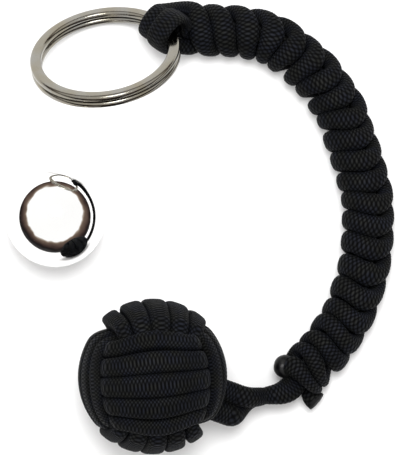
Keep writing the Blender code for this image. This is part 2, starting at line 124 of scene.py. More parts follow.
# The braid: stations between crossings in line, a yarn's fall to its edges, the height that lies on
# the tube's outline, and the filaments in a yarn
STATIONS_PER_PITCH = 4
BRAID_FALL = 0.4
BRAID_MEAN = 0.6
FILAMENTS = 5
# In hidden runs of cord, one station in this many is kept
HIDDEN_STEP = 3
# A turn of the fist is well under another set where twice its angle has less than this cosine
WELL_UNDER = -0.5
# The share of its size to which a tube's nose narrows
NOSE_TIP = 0.08


def number_prop(name, description, default, **more):
    return FloatProperty(name=name, description=description, default=default, **more)


def length_prop(name, description, default):
    return number_prop(name, description, default, unit="LENGTH", precision=5)


def share_prop(name, description, default):
    return number_prop(name, description, default, min=0, max=1, subtype="FACTOR")


def angle_prop(name, description, degrees):
    return number_prop(name, description, math.radians(degrees), subtype="ANGLE")


def colour_prop(name, description, default):
    return FloatVectorProperty(
        name=name, description=description, default=default, subtype="COLOR", min=0, max=1
    )


class BraidSettings(PropertyGroup):
    """The braid of the cord's sleeve."""

    pitch: length_prop("Pitch", "Distance along the cord between crossings in line", 0.00070)
    carriers: IntProperty(name="Carriers", description="Yarns running each way", default=8, min=4)
    points: IntProperty(name="Points Around", description="Points around a tube", default=48)
    relief: length_prop("Relief", "Height of a crossing over the hollows beside it", 0.00012)
    # Painted light: the hollow colour is painted shade for the hollows between the yarns, and the
    # crown colour is the cord's colour, shown in full on the crowns as a painted highlight.
    dark: colour_prop("Painted Hollow Shade", "Colour between the yarns", (0.0002, 0.0002, 0.0003))
    light: colour_prop("Crown Colour", "Colour on the crowns", (0.0180, 0.0192, 0.0220))


class FistSettings(PropertyGroup):
    """The three sets of turns round the ball."""

    turns: IntProperty(name="Turns", description="Turns in each set", default=5, min=1)
    inner_radius: length_prop("Inner Radius", "Middle of the cord where it runs under", 0.01145)
    outer_radius: length_prop("Outer Radius", "Middle of the cord where it runs over", 0.01400)
    inner_thickness: length_prop("Thickness Under", "Cord pressed flat by another set", 0.0023)
    outer_thickness: length_prop("Thickness Over", "Cord bulging on the outside", 0.0028)
    overlap: length_prop("Overlap", "How far neighbouring turns press together", 0.00008)
    squareness: number_prop("Squareness", "2 is an ellipse, more is squarer", 3.4)
    turn: angle_prop("Turn", "How far the whole fist is turned on the floor", 4.5)
    first_spread: number_prop("First Spread", "How wide the first set is", 1.06)
    first_late: share_prop("First Late", "How much later the first set dives under", 0.15)
    second_turn: angle_prop("Second Turn", "How far the second set is turned", -6.0)
    second_lean: angle_prop("Second Lean", "How far the second set leans over", 5.5)
    second_spread: number_prop("Second Spread", "How wide the second set is", 1.04)
    third_lean: angle_prop("Third Lean", "How far the third set leans over", 2.5)
    third_squeeze: share_prop("Third Squeeze", "How narrow the third set is", 0.90)
    third_press: length_prop("Third Press", "How much thinner the third set is", 0.0006)


class LanyardSettings(PropertyGroup):
    """The two strands that wrap the core."""

    half_width: length_prop("Half Width", "Half the lanyard's width", 0.00525)
    half_depth: length_prop("Half Depth", "Half the lanyard's height", 0.00485)
    thickness: length_prop("Cord Thickness", "Thickness of the wrapped cord", 0.0031)
    gap: length_prop("Gap", "Gap between neighbouring bands", 0.0001)
    side_rise: share_prop("Side Rise", "How much faster a band climbs along the edges", 0.35)
    set_back: share_prop("Set Back", "Tilt of the bands across the lanyard, in knots", 0.42)
    bulge: share_prop("Bulge", "How far a band bulges towards the fist, in knots", 0.34)
    last_bulge: number_prop("Last Bulge", "The same for the last bands, in knots", -0.28)
    core_width: length_prop("Core Width", "Width of the cord in the core", 0.0038)
    core_thickness: length_prop("Core Thickness", "Thickness of that cord", 0.0015)
    squareness: number_prop("Squareness", "2 is an ellipse, more is squarer", 2.5)


class NeckSettings(PropertyGroup):
    """The two legs of cord between the fist and the lanyard."""

    diameter: length_prop("Cord Diameter", "Diameter of the free cord", 0.0044)
    waist: length_prop("Waist", "Diameter where the two legs are drawn together", 0.0032)
    height: length_prop("Height", "Height at which the legs leave the fist", 0.0100)
    heading: angle_prop("Heading", "Direction in which the legs leave the fist", -20)
    twist_room: share_prop("Twist Room", "How far the legs stand apart as they twist", 0.12)
    split: length_prop("Split", "How far from the fist's hinge a leg is split", 0.0038)


class RingSettings(PropertyGroup):
    """The split ring of flat wire."""

    outer_diameter: length_prop("Outer Diameter", "Diameter across the outside", 0.0300)
    wire_width: length_prop("Wire Width", "Width of the wire across the ring's plane", 0.0022)
    wire_thickness: length_prop("Wire Thickness", "Thickness of one turn", 0.00135)
    coil_gap: length_prop("Coil Gap", "Gap between the two turns", 0.00015)
    tilt: angle_prop("Tilt", "Slope of the ring against the floor", 52)
    heading: angle_prop("Heading", "Direction of the ring's long axis", 9.5)
    bight_width: length_prop("Bight Width", "Width of the cord round the wire", 0.0035)
    bight_thickness: length_prop("Bight Thickness", "Thickness of that cord", 0.0017)
    bight_lean: length_prop("Bight Lean", "How far it leans along the wire on top", 0.0013)
    colour: colour_prop("Nickel Colour", "Colour of the plating", (0.25, 0.243, 0.22))


class BallSettings(PropertyGroup):
    """The steel balls."""

    diameter: length_prop("Diameter", "Diameter of a ball", 0.0200)
    colour: colour_prop("Steel Colour", "Colour of the polished steel", (0.93, 0.925, 0.915))


class StageSettings(PropertyGroup):
    """Floor, light and camera."""

    floor_size: length_prop("Floor Size", "Side of the floor", 3.0)
    camera_height: length_prop("Camera Height", "Height of the camera over the floor", 1.205)
    floor_colour: colour_prop("Floor Colour", "Colour of the floor", (0.93, 0.93, 0.93))
    light_power: number_prop("Light Power", "Power of the soft overhead light", 10)
    sky_strength: number_prop("Surroundings", "Strength of the surrounding light", 1.12)


class MonkeyFistSettings(PropertyGroup):
    """All that a user may change."""

    braid: PointerProperty(type=BraidSettings)
    fist: PointerProperty(type=FistSettings)
    lanyard: PointerProperty(type=LanyardSettings)
    neck: PointerProperty(type=NeckSettings)
    ring: PointerProperty(type=RingSettings)
    ball: PointerProperty(type=BallSettings)
    stage: PointerProperty(type=StageSettings)


def eased(share):
    """0 to 1, level at both ends."""
    share = min(max(share, 0.0), 1.0)
    return share * share * (3 - 2 * share)


def mixed(first, second, share):
    return first + (second - first) * share


def travels(centres):
    """The direction of travel at each point of a path."""
    last = len(centres) - 1
    return [
        (centres[min(k + 1, last)] - centres[max(k - 1, 0)]).normalized() for k in range(last + 1)
    ]


def heading(stations, first, last):
    """The direction from one station of a run to another."""
    return (stations[last][0] - stations[first][0]).normalized()


def bezier(start, start_pull, end_pull, end, count):
    """A curve that leaves start by start_pull and arrives at end by end_pull."""
    path = []
    for k in range(count + 1):
        t = k / count
        s = 1 - t
        near_start = start * s**3 + (start + start_pull) * (3 * s * s * t)
        near_end = (end - end_pull) * (3 * s * t * t) + end * t**3
        path.append(near_start + near_end)
    return path


def even_stations(stations, step):
    """The same run of cord, read at equal distances.

    A station is (centre, direction of the thickness, width, thickness).
    """
    reached = [0.0]
    for first, second in zip(stations, stations[1:]):
        reached.append(reached[-1] + (second[0] - first[0]).length)
    count = max(2, round(reached[-1] / step))
    even, at = [], 0
    for k in range(count + 1):
        goal = reached[-1] * k / count
        while at < len(stations) - 2 and reached[at + 1] < goal:
            at += 1
        part = min((goal - reached[at]) / max(reached[at + 1] - reached[at], 1e-9), 1.0)
        low, high = stations[at], stations[at + 1]
        width, thickness = mixed(low[2], high[2], part), mixed(low[3], high[3], part)
        even.append((low[0].lerp(high[0], part), low[1].lerp(high[1], part), width, thickness))
    return even


def steady_ups(stations):
    """Turns round each thickness direction that points against the one before it."""
    steady = [stations[0]]
    for centre, up, width, thickness in stations[1:]:
        steady.append((centre, up if up.dot(steady[-1][1]) >= 0 else -up, width, thickness))
    return steady


def at_share(values, share):
    """A list read at a share of its length."""
    place = min(max(share, 0.0), 1.0) * (len(values) - 1)
    low = min(int(place), len(values) - 2)
    return values[low].lerp(values[low + 1], place - low)


def joining_stations(first, first_way, last, last_way, count=12, reach=0.4, swell=0.0):
    """A short smooth run of cord from one station to another, with its section easing over."""
    pull = (last[0] - first[0]).length * reach
    points = bezier(first[0], first_way * pull, last_way * pull, last[0], count)
    up_end = last[1] if first[1].dot(last[1]) > -0.5 else -last[1]
    run = []
    for k, point in enumerate(points):
        share = eased(k / count)
        wider = swell * math.sin(math.pi * k / count)
        width = mixed(first[2], last[2], share) + wider
        thickness = mixed(first[3], last[3], share) + wider / 3
        run.append((point, first[1].lerp(up_end, share).normalized(), width, thickness))
    return run


def braid_height(along, around):
    """Height of the yarns where the braid's two coordinates meet: 0 in a hollow, 1 on a crown."""
    a = (along + around) / 2
    b = (along - around) / 2
    row_a, row_b = math.floor(a), math.floor(b)
    over = 0.5 * math.sin(math.pi * (a + row_b)) + 0.5 - BRAID_FALL * (2 * (b - row_b) - 1) ** 2
    under = -0.5 * math.sin(math.pi * (b + row_a)) + 0.5 - BRAID_FALL * (2 * (a - row_a) - 1) ** 2
    return max(over, under)


def rounded_section(angle, squareness):
    """A point of a pressed cord's outline, in half widths and half thicknesses."""
    across, out = math.cos(angle), math.sin(angle)
    power = 2 / squareness
    return math.copysign(abs(across) ** power, across), math.copysign(abs(out) ** power, out)


def with_noses(stations, at_start, at_end, steps=7):
    """The stations with a round nose added at one or both ends."""
    longer = list(stations)
    for wanted, index in ((at_start, 0), (at_end, -1)):
        if not wanted:
            continue
        centre, up, width, thickness = longer[index]
        beside = longer[1] if index == 0 else longer[-2]
        onward = (centre - beside[0]).normalized()
        radius = min(width, thickness) / 2 * wanted
        nose = []
        for k in range(1, steps + 1):
            angle = math.pi / 2 * k / steps
            size = max(math.cos(angle), NOSE_TIP)
            place = centre + onward * (radius * math.sin(angle))
            nose.append((place, up, width * size, thickness * size))
        longer = nose[::-1] + longer if index == 0 else longer + nose
    return longer


def mesh_of(name, tool, material):
    """A mesh with one material, made from a bmesh that it uses up."""
    mesh = bpy.data.meshes.new(name)
    tool.to_mesh(mesh)
    tool.free()
    mesh.materials.append(material)
    return mesh


def placed(name, data):
    """An object made from its data and put into the scene."""
    made = bpy.data.objects.new(name, data)
    bpy.context.scene.collection.objects.link(made)
    return made


def add_piece(name, tool, material, body, nodes):
    """Turns a bmesh in world places into a piece that rides on a body, and hides the CAD nodes it
    replaces.
    """
    for vert in tool.verts:
        vert.co.z = max(vert.co.z, 0.0)
    bmesh.ops.recalc_face_normals(tool, faces=tool.faces)
    if tool.calc_volume(signed=True) < 0:
        bmesh.ops.reverse_faces(tool, faces=tool.faces)
    for face in tool.faces:
        face.smooth = True
    piece = placed(name, mesh_of(name, tool, material))
    if body:
        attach(piece, body)
    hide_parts(*nodes)
    return piece


def rolled_tube(stations, points, squareness, wall, alongs, around_scale):
    """A grid rolled into a closed tube along the stations.

    wall(k, j) lifts the surface along its normal. The material reads alongs[k] and the point's
    number times the scale as its two coordinates.
    """
    tool = bmesh.new()
    layer = tool.loops.layers.uv.new("braid")
    last = len(stations) - 1
    bmesh.ops.create_grid(tool, x_segments=last, y_segments=points, size=0.5, calc_uvs=True)
    ways = travels([station[0] for station in stations])
    frames = []
    for (centre, up, width, thickness), way in zip(stations, ways):
        side = way.cross(up).normalized()
        frames.append((centre, side, side.cross(way).normalized(), width / 2, thickness / 2))
    outline = []
    for j in range(points):
        across, out = rounded_section(2 * math.pi * j / points, squareness)
        lean_across = math.copysign(abs(across) ** (squareness - 1), across)
        lean_out = math.copysign(abs(out) ** (squareness - 1), out)
        outline.append((across, out, lean_across, lean_out))
    for face in tool.faces:
        for loop in face.loops:
            read = loop[layer].uv
            loop[layer].uv = (alongs[round(read.x * last)], read.y * points * around_scale)
    for vert in tool.verts:
        k = round((vert.co.x + 0.5) * last)
        j = round((vert.co.y + 0.5) * points) % points
        centre, side, up, half_width, half_thickness = frames[k]
        across, out, lean_across, lean_out = outline[j]
        normal = (side * (lean_across * half_thickness) + up * (lean_out * half_width)).normalized()
        on_outline = centre + side * (across * half_width) + up * (out * half_thickness)
        vert.co = on_outline + normal * wall(k, j)
    bmesh.ops.remove_doubles(tool, verts=tool.verts, dist=1e-7)
    open_edges = [edge for edge in tool.edges if edge.is_boundary]
    bmesh.ops.holes_fill(tool, edges=open_edges, sides=points + 1)
    return tool


def braided_tube(stations, braid, squareness, start_nose=1.0, end_nose=1.0, hidden=None):
    """A tube of braided cord, with the braid's relief in its wall.

    Where hidden(centre, distance) holds, the tube is smooth and has fewer stations.
    """
    even = even_stations(steady_ups(stations), braid.pitch / STATIONS_PER_PITCH)
    fine = with_noses(even, start_nose, end_nose)
    kept, alongs, reliefs, reached = [], [], [], 0.0
    for k, station in enumerate(fine):
        reached += (station[0] - fine[max(k - 1, 0)][0]).length
        inside = hidden is not None and hidden(station[0], reached)
        if inside and k % HIDDEN_STEP:
            continue
        kept.append(station)
        alongs.append(k * 2 / STATIONS_PER_PITCH)
        reliefs.append(0.0 if inside else braid.relief)
    per_point = 2 * braid.carriers / braid.points

    def wall(k, j):
        return reliefs[k] * (braid_height(alongs[k], j * per_point) - BRAID_MEAN)

    return rolled_tube(kept, braid.points, squareness, wall, alongs, per_point)


def cut_across(tool, place, way):
    """Cuts a tube at a place and closes both parts: the part behind the cut and the one beyond."""
    parts = []
    for beyond in (False, True):
        part = tool.copy()
        everything = part.verts[:] + part.edges[:] + part.faces[:]
        cut = bmesh.ops.bisect_plane(part, geom=everything, dist=1e-7, plane_co=place,
                                     plane_no=way, clear_inner=beyond, clear_outer=not beyond)
        rim = [item for item in cut["geom_cut"] if isinstance(item, bmesh.types.BMEdge)]
        bmesh.ops.edgeloop_fill(part, edges=rim)
        for edge in rim:
            edge.smooth = False
        parts.append(part)
    tool.free()
    return parts


def fist_turn_stations(fist, squeeze=1.0, press=0.0, late=0.0):
    """One set of turns in its own frame: X is the set's axis, and Y leads to where it is outermost.

    The later a set dives, the longer its turns show before another set covers them.
    """
    stations_per_turn = 420
    end_angle, climb_angle = math.radians(25), math.radians(35)
    face_step, corner_step = math.radians(17.5), math.radians(14.6)
    swap, slant, crowding, narrowing = 0.4, 0.10, 0.016, 0.048
    start = -math.pi / 2 + end_angle
    end = -math.pi / 2 + 2 * math.pi * fist.turns - end_angle
    count = round(stations_per_turn * (end - start) / (2 * math.pi))
    run = []
    for k in range(count + 1):
        angle = mixed(start, end, k / count)
        outer = eased((math.cos(2 * angle) + swap + late) / (2 * swap))
        corner = math.sin(2 * angle) ** 2
        radius = mixed(fist.inner_radius, fist.outer_radius - press / 2, outer)
        turn = (angle + math.pi / 2) / (2 * math.pi)
        whole = math.floor(turn)
        into = (turn - whole) * 2 * math.pi
        climb = 0.0
        if into < climb_angle:
            climb = eased(0.5 + 0.5 * into / climb_angle) - 1
        elif into > 2 * math.pi - climb_angle:
            climb = eased(0.5 - 0.5 * (2 * math.pi - into) / climb_angle)
        level = mixed(whole - (fist.turns - 1) / 2 + climb, turn - fist.turns / 2, slant)
        spacing = squeeze * radius * (face_step - (face_step - corner_step) * corner)
        offset = spacing * level * (1 - crowding * level * level)
        reach = math.sqrt(radius * radius - offset * offset)
        centre = Vector((offset, reach * math.cos(angle), reach * math.sin(angle)))
        width = spacing * (1 - narrowing * level * level) + fist.overlap
        thickness = mixed(fist.inner_thickness, fist.outer_thickness - press, outer)
        run.append((centre, centre.normalized(), width, thickness))
    return run


def under_another_set(centre, distance):
    """Whether a point of a set of turns, in the set's own frame, lies well under another set."""
    return centre.y**2 - centre.z**2 < WELL_UNDER * (centre.y**2 + centre.z**2)


def lanyard_line():
    """The lanyard's middle line, with its directions of travel and of its left side."""
    parts = 12
    points = [Vector((x, y, LANYARD_HEIGHT)) for x, y in LANYARD_ROUTE]
    ends = [points[0] * 2 - points[1], *points, points[-1] * 2 - points[-2]]
    fine = []
    for a, b, c, d in zip(ends, ends[1:], ends[2:], ends[3:]):
        for k in range(parts):
            t = k / parts
            bend = (2 * a - 5 * b + 4 * c - d) * t**2 + (3 * b - a - 3 * c + d) * t**3
            fine.append((0.5 * (2 * b + (c - a) * t + bend), UP, 0, 0))
    fine.append((points[-1], UP, 0, 0))
    path = [station[0] for station in even_stations(fine, LANYARD_STEP)]
    directions = travels(path)
    return path, directions, [Vector((-d.y, d.x, 0)) for d in directions]


def knot_run(line, half_turn, lanyard):
    """Middle points and outward directions of one wrapping strand; half_turn tells which."""
    path, _, sides = line
    half_width = lanyard.half_width - lanyard.thickness / 2
    half_depth = lanyard.half_depth - lanyard.thickness / 2
    count = round(LAST_WRAPS[0] * STATIONS_PER_KNOT)
    run = []
    for k in range(count + 1):
        wrap = mixed(FIRST_WRAPS[half_turn], LAST_WRAPS[half_turn], k / count)
        angle = math.pi * (wrap + half_turn)
        lead = lanyard.side_rise * math.sin(2 * math.pi * wrap) / (2 * math.pi)
        lead += LATE_LEAD * eased((wrap - 14) / 4.5) - END_RETURN * eased((wrap - 20) / 1.2)
        set_back = lanyard.set_back * eased(wrap / 7)
        bulge = mixed(lanyard.bulge * eased(wrap / 5), lanyard.last_bulge, eased((wrap - 15.5) / 5))
        share = (wrap + lead + set_back * math.cos(angle) + bulge * math.sin(angle)) / KNOTS
        side = at_share(sides, share).normalized()
        out = side * (half_width * math.cos(angle)) + UP * (half_depth * math.sin(angle))
        up = side * (math.cos(angle) / half_width) + UP * (math.sin(angle) / half_depth)
        run.append((at_share(path, share) + out, up.normalized()))
    return run


def knot_stations(line, lanyard):
    """Both wrapping strands, each as wide as the room that its neighbours leave."""
    runs = [knot_run(line, half_turn, lanyard) for half_turn in (0, 1)]
    search, apart = STATIONS_PER_KNOT * 3 // 2, STATIONS_PER_KNOT // 2
    strands = []
    for own, other in (runs, runs[::-1]):
        strand = []
        for k, (centre, up) in enumerate(own):
            first, last = max(k - search, 0), min(k + search + 1, len(other))
            near = [other[j][0] for j in range(first, last, 2) if abs(j - k) > apart]
            room = min((centre - point).length for point in near)
            strand.append((centre, up, room - lanyard.gap, lanyard.thickness))
        strands.append(strand)
    return strands


def outer_end(line, strand, lanyard):
    """The last run of the first strand: from underneath, round the outside, to its cut end."""
    path, directions, sides = line
    side, onward = sides[-1], directions[-1]
    width, thickness = 0.0040, 0.0030
    leave = (side * 0.95 + onward * 0.12 + UP * 0.15).normalized()
    tip = path[-1] + side * lanyard.half_width + onward * 0.0009 - UP * 0.0008
    up = leave.cross(onward).normalized()
    up *= 1 if up.dot(strand[-1][1]) > 0 else -1
    cut = (tip, up, width, thickness)
    return joining_stations(strand[-1], heading(strand, -3, -1), cut, leave, 40, 0.45)


def wire_radius(ring):
    return (ring.outer_diameter - ring.wire_width) / 2


def ring_frame(ring):
    """The split ring's plane: its centre, and its level, sloping and normal directions."""
    ahead, aside = math.cos(ring.heading), math.sin(ring.heading)
    across = math.sin(ring.tilt)
    level = Vector((ahead, aside, 0))
    normal = Vector((-aside * across, ahead * across, math.cos(ring.tilt)))
    slope = normal.cross(level)
    edge = ring.wire_thickness * 0.75 + ring.coil_gap / 2
    height = ring.outer_diameter / 2 * across + edge * math.cos(ring.tilt)
    return Vector((*RING_PLACE, height)), level, slope, normal


def loop_frame(ring):
    """Where the loop holds the wire: its middle, the way out, along the wire, and the normal."""
    centre, level, slope, normal = ring_frame(ring)
    out = level * math.cos(LOOP_ANGLE) + slope * math.sin(LOOP_ANGLE)
    return centre + out * wire_radius(ring), out, normal.cross(out), normal


def bight_stations(ring, letter):
    """One bight of cord round the ring's wire, from the wrapping strand's side to the core's."""
    place, out, along, normal = loop_frame(ring)
    thickness = ring.bight_thickness
    clearance, bight_gap, corner_share, count = 0.00012, 0.0001, 0.825, 60
    lean_angle = math.radians(124)
    shift, wider, first_angle, last_angle = BIGHTS[letter]
    width = ring.bight_width + wider
    half_height = ring.wire_thickness + ring.coil_gap / 2
    corner = corner_share * math.hypot(ring.wire_width / 2, half_height)
    bend = wire_radius(ring) - math.sqrt(wire_radius(ring) ** 2 - width**2)
    radius = corner + bend + clearance + thickness / 2
    middle = place + along * (shift * (width + bight_gap) / 2)
    arc = []
    for k in range(count + 1):
        angle = math.radians(mixed(first_angle, last_angle, k / count))
        way = out * math.cos(angle) + normal * math.sin(angle)
        lean = along * (-ring.bight_lean * math.cos(angle - lean_angle))
        arc.append((middle + way * radius + lean, way, width, thickness))
    return arc


def core_stations(line, sign, lanyard):
    """The cord's run inside the lanyard, from the ring's end to where it leaves for the fist."""
    path, directions, _ = line
    inset, first_kept, core_gap = 0.002, 6, 0.0002
    inside = [path[0] + directions[0] * inset, *path[first_kept:]]
    lift = UP * (sign * (lanyard.core_thickness + core_gap) / 2)
    return [(point + lift, UP, lanyard.core_width, lanyard.core_thickness) for point in inside]


def tinted(colour, *shares):
    """An opaque colour with its channels scaled, all by one share or each by its own."""
    if len(shares) < 3:
        shares = (shares or (1,)) * 3
    return (*(channel * share for channel, share in zip(colour, shares)), 1)


class Recipe:
    """Adds and joins the shader nodes of a material or a world."""

    def __init__(self, owner, shader="Principled BSDF"):
        owner.use_nodes = True
        self.nodes = owner.node_tree.nodes
        self.links = owner.node_tree.links
        self.shader = self.nodes[shader]

    def feed(self, sockets, values):
        """Fills sockets, found by number or by name, with values or with other nodes' outputs."""
        for key, value in values:
            if hasattr(value, "is_output"):
                self.links.new(value, sockets[key])
            else:
                sockets[key].default_value = value

    def node(self, kind, *inputs, **settings):
        """A node with its first inputs filled in order."""
        made = self.nodes.new(kind)
        for name, value in settings.items():
            setattr(made, name, value)
        self.feed(made.inputs, enumerate(inputs))
        return made

    def named(self, kind, **inputs):
        """A node with its inputs filled by name."""
        made = self.nodes.new(kind)
        self.feed(made.inputs, inputs.items())
        return made

    def shade(self, inputs):
        self.feed(self.shader.inputs, inputs.items())

    def math(self, operation, *values):
        return self.node("ShaderNodeMath", *values, operation=operation).outputs[0]

    def blend(self, share, first, second):
        made = self.node("ShaderNodeMix", share, data_type="RGBA")
        self.feed(made.inputs, ((6, first), (7, second)))
        return made.outputs[2]

    def ramp(self, value, low, high, new_low=0.0, new_high=1.0):
        return self.node("ShaderNodeMapRange", value, low, high, new_low, new_high).outputs[0]

    def noise(self, place, scale, detail=3.0, roughness=0.5):
        made = self.named(
            "ShaderNodeTexNoise", Vector=place, Scale=scale, Detail=detail, Roughness=roughness
        )
        return made.outputs["Fac"]

    def here(self, kind="Object"):
        return self.node("ShaderNodeTexCoord").outputs[kind]

    def braid_place(self):
        return self.node("ShaderNodeUVMap", uv_map="braid").outputs["UV"]

    def stretched(self, place, scale, turn=(0, 0, 0)):
        made = self.named("ShaderNodeMapping", Vector=place, Scale=scale, Rotation=turn)
        return made.outputs["Vector"]

    def bump(self, height, strength, distance):
        made = self.named("ShaderNodeBump", Height=height, Strength=strength, Distance=distance)
        return made.outputs["Normal"]


def made_once(name, maker, *details):
    """The material of that name, which its maker fills in the first time."""
    material = bpy.data.materials.get(name)
    if material is None:
        material = bpy.data.materials.new(name)
        maker(Recipe(material), *details)
    return material


def braided_cord(recipe, braid):
    """Black braided cord: crossing yarns of fine filaments, painted shade in the hollows, a painted
    highlight on the crowns and an uneven dye.
    """
    calc = recipe.math
    parts = recipe.node("ShaderNodeSeparateXYZ", recipe.braid_place()).outputs
    along, around = parts["X"], parts["Y"]
    a = calc("MULTIPLY", calc("ADD", along, around), 0.5)
    b = calc("MULTIPLY", calc("SUBTRACT", along, around), 0.5)
    heights, streaks = [], []
    for own, other, sign in ((a, b, 1.0), (b, a, -1.0)):
        row = calc("FLOOR", other)
        across = calc("SUBTRACT", other, row)
        wave = calc("SINE", calc("MULTIPLY", calc("ADD", own, row), math.pi))
        raised = calc("MULTIPLY_ADD", wave, 0.5 * sign, 0.5)
        off_middle = calc("MULTIPLY_ADD", across, 2.0, -1.0)
        falling = calc("MULTIPLY", calc("MULTIPLY", off_middle, off_middle), BRAID_FALL)
        heights.append(calc("SUBTRACT", raised, falling))
        streaks.append(calc("SINE", calc("MULTIPLY", across, 2 * math.pi * FILAMENTS)))
    on_top = calc("GREATER_THAN", *heights)
    height = calc("MAXIMUM", *heights)
    upper = calc("MULTIPLY", streaks[0], on_top)
    lower = calc("MULTIPLY", streaks[1], calc("SUBTRACT", 1.0, on_top))
    streak = calc("ADD", upper, lower)
    place = recipe.here()
    patches = recipe.noise(place, 260, 2.0)
    fuzz = recipe.noise(place, 5200, 2.0, 0.6)
    # Painted light: this ramp of the yarns' height paints a highlight on the crowns and shade in
    # the hollows; the filament lines, random patches and fine fuzz below darken it further.
    shade = crown = calc("POWER", recipe.ramp(height, 0.30, 0.98), 2.4)
    for darkening, low, high, least in (
        (streak, -1.0, 1.0, 0.72),
        (patches, 0.30, 0.70, 0.62),
        (fuzz, 0.25, 0.75, 0.70),
    ):
        shade = calc("MULTIPLY", shade, recipe.ramp(darkening, low, high, least, 1.0))
    cast = recipe.ramp(recipe.noise(place, 430, 1.0), 0.38, 0.62)
    cool, warm = tinted(braid.light, 0.88, 0.95, 1.22), tinted(braid.light, 1.10, 1.08, 0.86)
    bumps = calc("ADD", height, calc("MULTIPLY", streak, 0.05))
    bumps = calc("MULTIPLY_ADD", fuzz, 0.10, bumps)
    # Painted shade: where the ramp is low the colour falls to the near-black hollow colour, and the
    # crowns get the full cord colour as a painted highlight.
    recipe.shade({
        "Base Color": recipe.blend(shade, tinted(braid.dark), recipe.blend(cast, cool, warm)),
        "Roughness": recipe.ramp(crown, 0.0, 1.0, 0.78, 0.50),
        "Normal": recipe.bump(bumps, 0.9, braid.relief * 0.9),
        "Specular IOR Level": 0.055,
        "Sheen Weight": 0.012,
        "Sheen Roughness": 0.4,
        "Sheen Tint": (0.75, 0.80, 0.92, 1),
    })


def melted_cord(recipe, least_roughness):
    """Cord melted hard and glossy, with ripples where it was pressed while soft."""
    place = recipe.here()
    ripples = recipe.noise(place, 620, 3.0, 0.55)
    specks = recipe.noise(place, 4200, 2.0)
    dull = recipe.ramp(recipe.noise(place, 900, 4.0), 0.45, 0.62)
    recipe.shade({
        "Base Color": recipe.blend(dull, (0.0025, 0.0025, 0.0030, 1), (0.008, 0.008, 0.008, 1)),
        "Roughness": recipe.ramp(dull, 0.0, 1.0, least_roughness, least_roughness + 0.2),
        "Normal": recipe.bump(recipe.math("MULTIPLY_ADD", specks, 0.12, ripples), 0.4, 0.00010),
        "Specular IOR Level": 0.15,
    })


def polished_steel(recipe, colour):
    """Polished steel with faint hairlines and a trace of haze."""
    place = recipe.here()
    haze = recipe.noise(place, 130, 3.0)
    hairlines = []
    for scale, turn in (((9000, 260, 260), (0.3, 0.5, 0.9)), ((240, 9000, 300), (1.1, 0.2, 0.4))):
        lines = recipe.noise(recipe.stretched(place, scale, turn), 1.0, 2.0)
        hairlines.append(recipe.ramp(lines, 0.66, 0.80))
    marks = recipe.math("MAXIMUM", *hairlines)
    base = recipe.ramp(haze, 0.3, 0.7, 0.025, 0.050)
    recipe.shade({
        "Metallic": 1.0,
        "Base Color": recipe.blend(haze, tinted(colour), tinted(colour, 0.93)),
        "Roughness": recipe.math("MULTIPLY_ADD", marks, 0.05, base),
        "Normal": recipe.bump(marks, 0.05, 0.00002),
    })


def nickel_plate(recipe, colour):
    """Bright nickel on spring wire: drawn lines along the wire, small dark pits and a warm cast."""
    place = recipe.here()
    drawn = recipe.noise(recipe.stretched(recipe.braid_place(), (1.5, 60, 1)), 1.0, 3.0, 0.6)
    pits = recipe.ramp(recipe.noise(place, 2600, 3.0), 0.64, 0.72)
    cloud = recipe.ramp(recipe.noise(place, 240, 3.0), 0.35, 0.7)
    tint = recipe.blend(cloud, tinted(colour), tinted(colour, 0.92, 0.86, 0.74))
    base = recipe.ramp(drawn, 0.3, 0.7, 0.11, 0.20)
    height = recipe.math("MULTIPLY_ADD", pits, -0.6, recipe.math("MULTIPLY", drawn, 0.4))
    dark_share = recipe.math("MULTIPLY", pits, 0.5)
    recipe.shade({
        "Metallic": 1.0,
        "Base Color": recipe.blend(dark_share, tint, (0.20, 0.18, 0.15, 1)),
        "Roughness": recipe.math("MULTIPLY_ADD", pits, 0.2, base),
        "Normal": recipe.bump(height, 0.25, 0.00003),
    })


def pale_floor(recipe, colour):
    """A dull pale surface with a faint cloud in it."""
    grain = recipe.noise(recipe.here(), 40, 3.0)
    recipe.shade({
        "Base Color": recipe.blend(grain, tinted(colour), tinted(colour, 0.985)),
        "Roughness": 0.9,
        "Specular IOR Level": 0.1,
    })


def settings_of(context):
    return context.scene.monkey_fist


def turned(angle, axis):
    return Matrix.Rotation(angle, 4, axis)


class MONKEYFIST_OT_fist(Operator):
    """Wind the three crossing sets of turns round the hidden ball"""

    bl_idname = "monkey_fist.fist"
    bl_label = "Fist"

    def execute(self, context):
        settings = settings_of(context)
        fist, braid = settings.fist, settings.braid
        cord = made_once("Black braided cord", braided_cord, braid)
        tilt = turned(FIST_SIDE_TILT, "Y") @ turned(FIST_TILT, "X")
        place = Matrix.Translation(FIST_CENTRE) @ turned(fist.turn, "Z") @ tilt
        x, y, z = Vector((1, 0, 0)), Vector((0, 1, 0)), UP
        second = turned(fist.second_turn, "Z") @ turned(fist.second_lean, "Y")
        third = turned(fist.third_lean, "Y")
        for name, axes, lean, shape in (
            ("first", (y, z, x), Matrix(), (fist.first_spread, 0.0, fist.first_late)),
            ("second", (x, y, z), second, (fist.second_spread,)),
            ("third", (z, x, y), third, (fist.third_squeeze, fist.third_press)),
        ):
            stations = fist_turn_stations(fist, *shape)
            tool = braided_tube(stations, braid, fist.squareness, hidden=under_another_set)
            tool.transform(place @ lean @ Matrix(axes).transposed().to_4x4())
            add_piece(f"fist_{name}_cord", tool, cord, "fist", [f"fist_{name}_turns"])
        steel = made_once("Polished steel", polished_steel, settings.ball.colour)
        bpy.data.objects["fist_core_ball"].material_slots[0].material = steel
        return {"FINISHED"}


